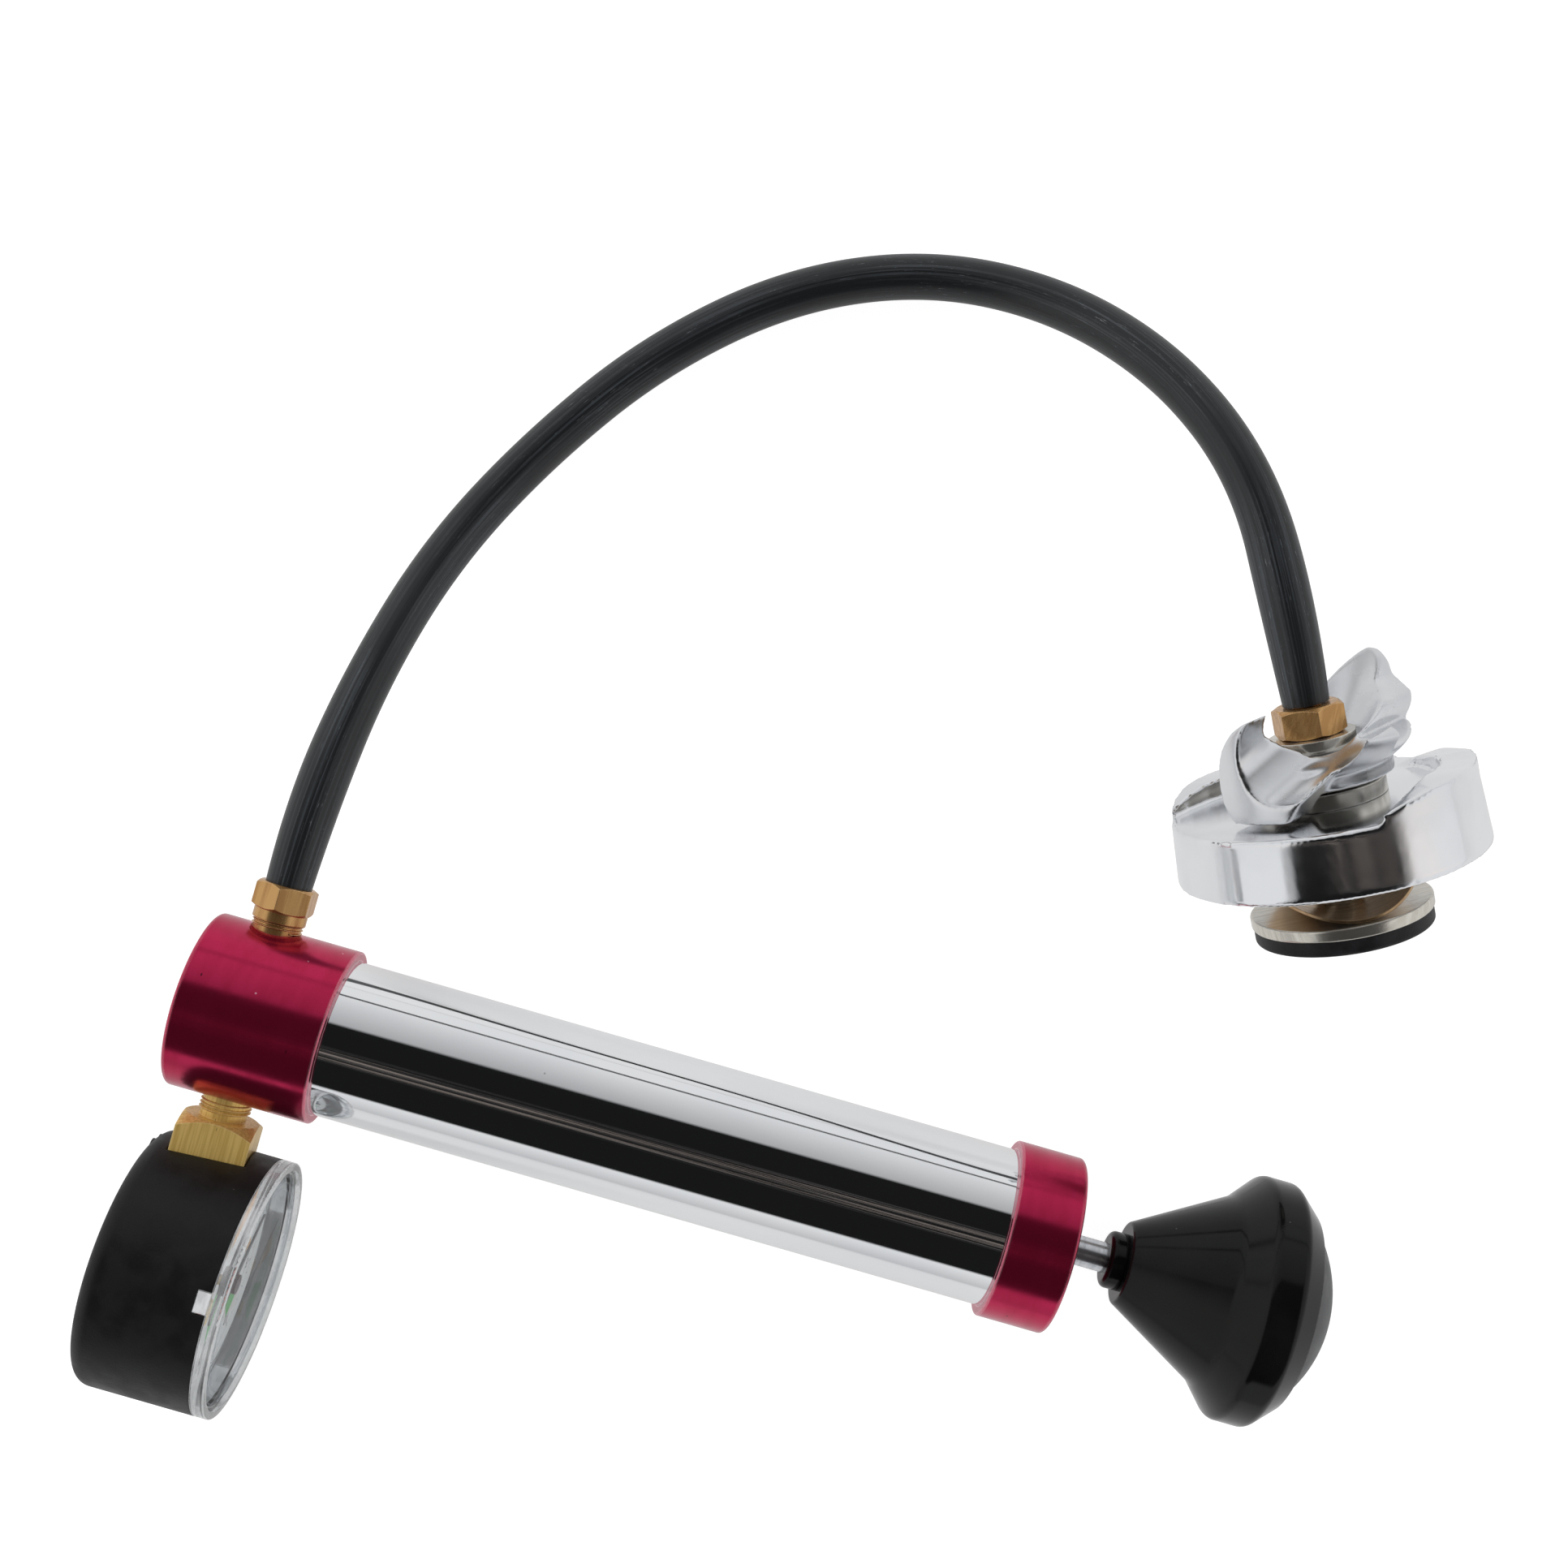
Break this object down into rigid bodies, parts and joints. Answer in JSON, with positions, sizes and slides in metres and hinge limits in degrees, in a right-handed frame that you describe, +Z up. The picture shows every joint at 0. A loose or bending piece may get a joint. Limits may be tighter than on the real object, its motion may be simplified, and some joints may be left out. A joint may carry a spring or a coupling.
{
  "type": "radiator pressure tester",
  "caption": "Hand-pumped cooling-system pressure tester: a chromed plunger pump with a round side gauge, joined by a short rubber hose to a chromed cap adapter with a scooped wing nut.",
  "frame": {"origin": "centre of the footprint on the bench that the tester lies on, measured without the hose", "axes": "+X along the pump from its head to its handle, +Y from the pump towards the hose's far loop, +Z up from the bench"},
  "size_m": [0.2366, 0.2694, 0.0616],
  "materials": {
    "crimson_anodised": "satin anodised",
    "chrome_tube": "mirror",
    "die_cast_chrome": "mirror, cast",
    "brass": "machined",
    "brass_dark": "machined",
    "bronze": "satin",
    "nickel_steel": "satin",
    "zinc_steel": "bright zinc",
    "black_steel": "satin",
    "piston_aluminium": "machined",
    "seal_rubber": "matt",
    "hose_rubber": "dusty matt",
    "handle_plastic": "gloss",
    "dome_plastic": "satin",
    "case_plastic": "satin",
    "lens_plastic": "clear",
    "dial_enamel": "matt white with printed scale",
    "pointer_enamel": "satin"
  },
  "bodies": {
    "tester": {"pump_head": "crimson_anodised", "barrel_gasket": "seal_rubber", "barrel": "chrome_tube", "end_cap": "crimson_anodised", "rod_bush": "bronze", "valve_seat": "brass", "valve_spring": "zinc_steel", "gauge_stem": "brass", "gauge_case": "case_plastic", "case_screws": "black_steel", "gauge_lens": "lens_plastic", "gauge_dial": "dial_enamel", "dial_screws": "brass", "movement_front_plate": "brass", "movement_back_plate": "brass", "movement_pillars": "brass", "movement_screws": "brass", "bourdon_tube": "bronze", "tube_tip": "bronze", "pump_hose_fitting": "brass_dark", "adapter_hose_fitting": "brass_dark", "hose": "hose_rubber", "thrust_washer": "nickel_steel", "stem_tube": "nickel_steel", "seal_plate": "nickel_steel", "seal_gasket": "seal_rubber", "seal_retainer": "nickel_steel", "leaf_spring": "bronze"},
    "plunger": {"piston_rod": "zinc_steel", "cup_washer": "zinc_steel", "cup_seal": "seal_rubber", "piston": "piston_aluminium", "piston_nut": "zinc_steel", "back_nut": "zinc_steel", "stop_bumper": "seal_rubber", "handle_knob": "handle_plastic", "handle_collar": "handle_plastic", "handle_washer": "zinc_steel", "handle_nut": "zinc_steel", "handle_cap": "dome_plastic"},
    "valve": {"valve_disc": "seal_rubber"},
    "pointer": {"gauge_pointer": "pointer_enamel", "pointer_shaft": "brass"},
    "sector": {"sector_gear": "brass"},
    "link": {"tip_link": "brass"},
    "wing_nut": {"wing_nut": "die_cast_chrome"},
    "cap_hub": {"hub_bush": "nickel_steel"},
    "cap": {"cap_body": "die_cast_chrome"}
  },
  "joints": [
    {"name": "pump_stroke", "type": "slide", "parent": "tester", "child": "plunger", "axis": [1, 0, 0], "range_m": [0, 0.1321]},
    {"name": "valve_lift", "type": "slide", "parent": "tester", "child": "valve", "axis": [-1, 0, 0], "range_m": [0, 0.0012], "stiffness_N_per_m": 150, "springref_m": -0.003},
    {"name": "pointer_turn", "type": "hinge", "parent": "tester", "child": "pointer", "pos_m": [-0.085, -0.07994, 0.0258], "axis": [-1, 0, 0], "range_deg": [0, 270]},
    {"name": "sector_swing", "type": "hinge", "parent": "tester", "child": "sector", "pos_m": [-0.107, -0.07274, 0.03827], "axis": [1, 0, 0], "range_deg": [0, 33.75]},
    {"name": "link_travel", "type": "slide", "parent": "tester", "child": "link", "axis": [0, -0.866, 0.5], "range_m": [0, 0.0029], "stiffness_N_per_m": 200},
    {"name": "wing_nut_turn", "type": "hinge", "parent": "tester", "child": "wing_nut", "pos_m": [0.08561, 0.0733, 0.03226], "axis": [-0.4719, 0.8623, 0.1834], "range_deg": [0, 450]},
    {"name": "cap_feed", "type": "slide", "parent": "tester", "child": "cap_hub", "axis": [0.4719, -0.8623, -0.1834], "range_m": [0, 0.00375]},
    {"name": "cap_turn", "type": "hinge", "parent": "cap_hub", "child": "cap", "pos_m": [0.08561, 0.0733, 0.03226], "axis": [-0.4719, 0.8623, 0.1834], "continuous": true}
  ],
  "couplings": [
    {"joint": "sector_swing", "follows": "link_travel", "rad_per_m": 203.25},
    {"joint": "pointer_turn", "follows": "link_travel", "rad_per_m": 1626},
    {"joint": "wing_nut_turn", "follows": "cap_feed", "rad_per_m": 2094.4}
  ]
}
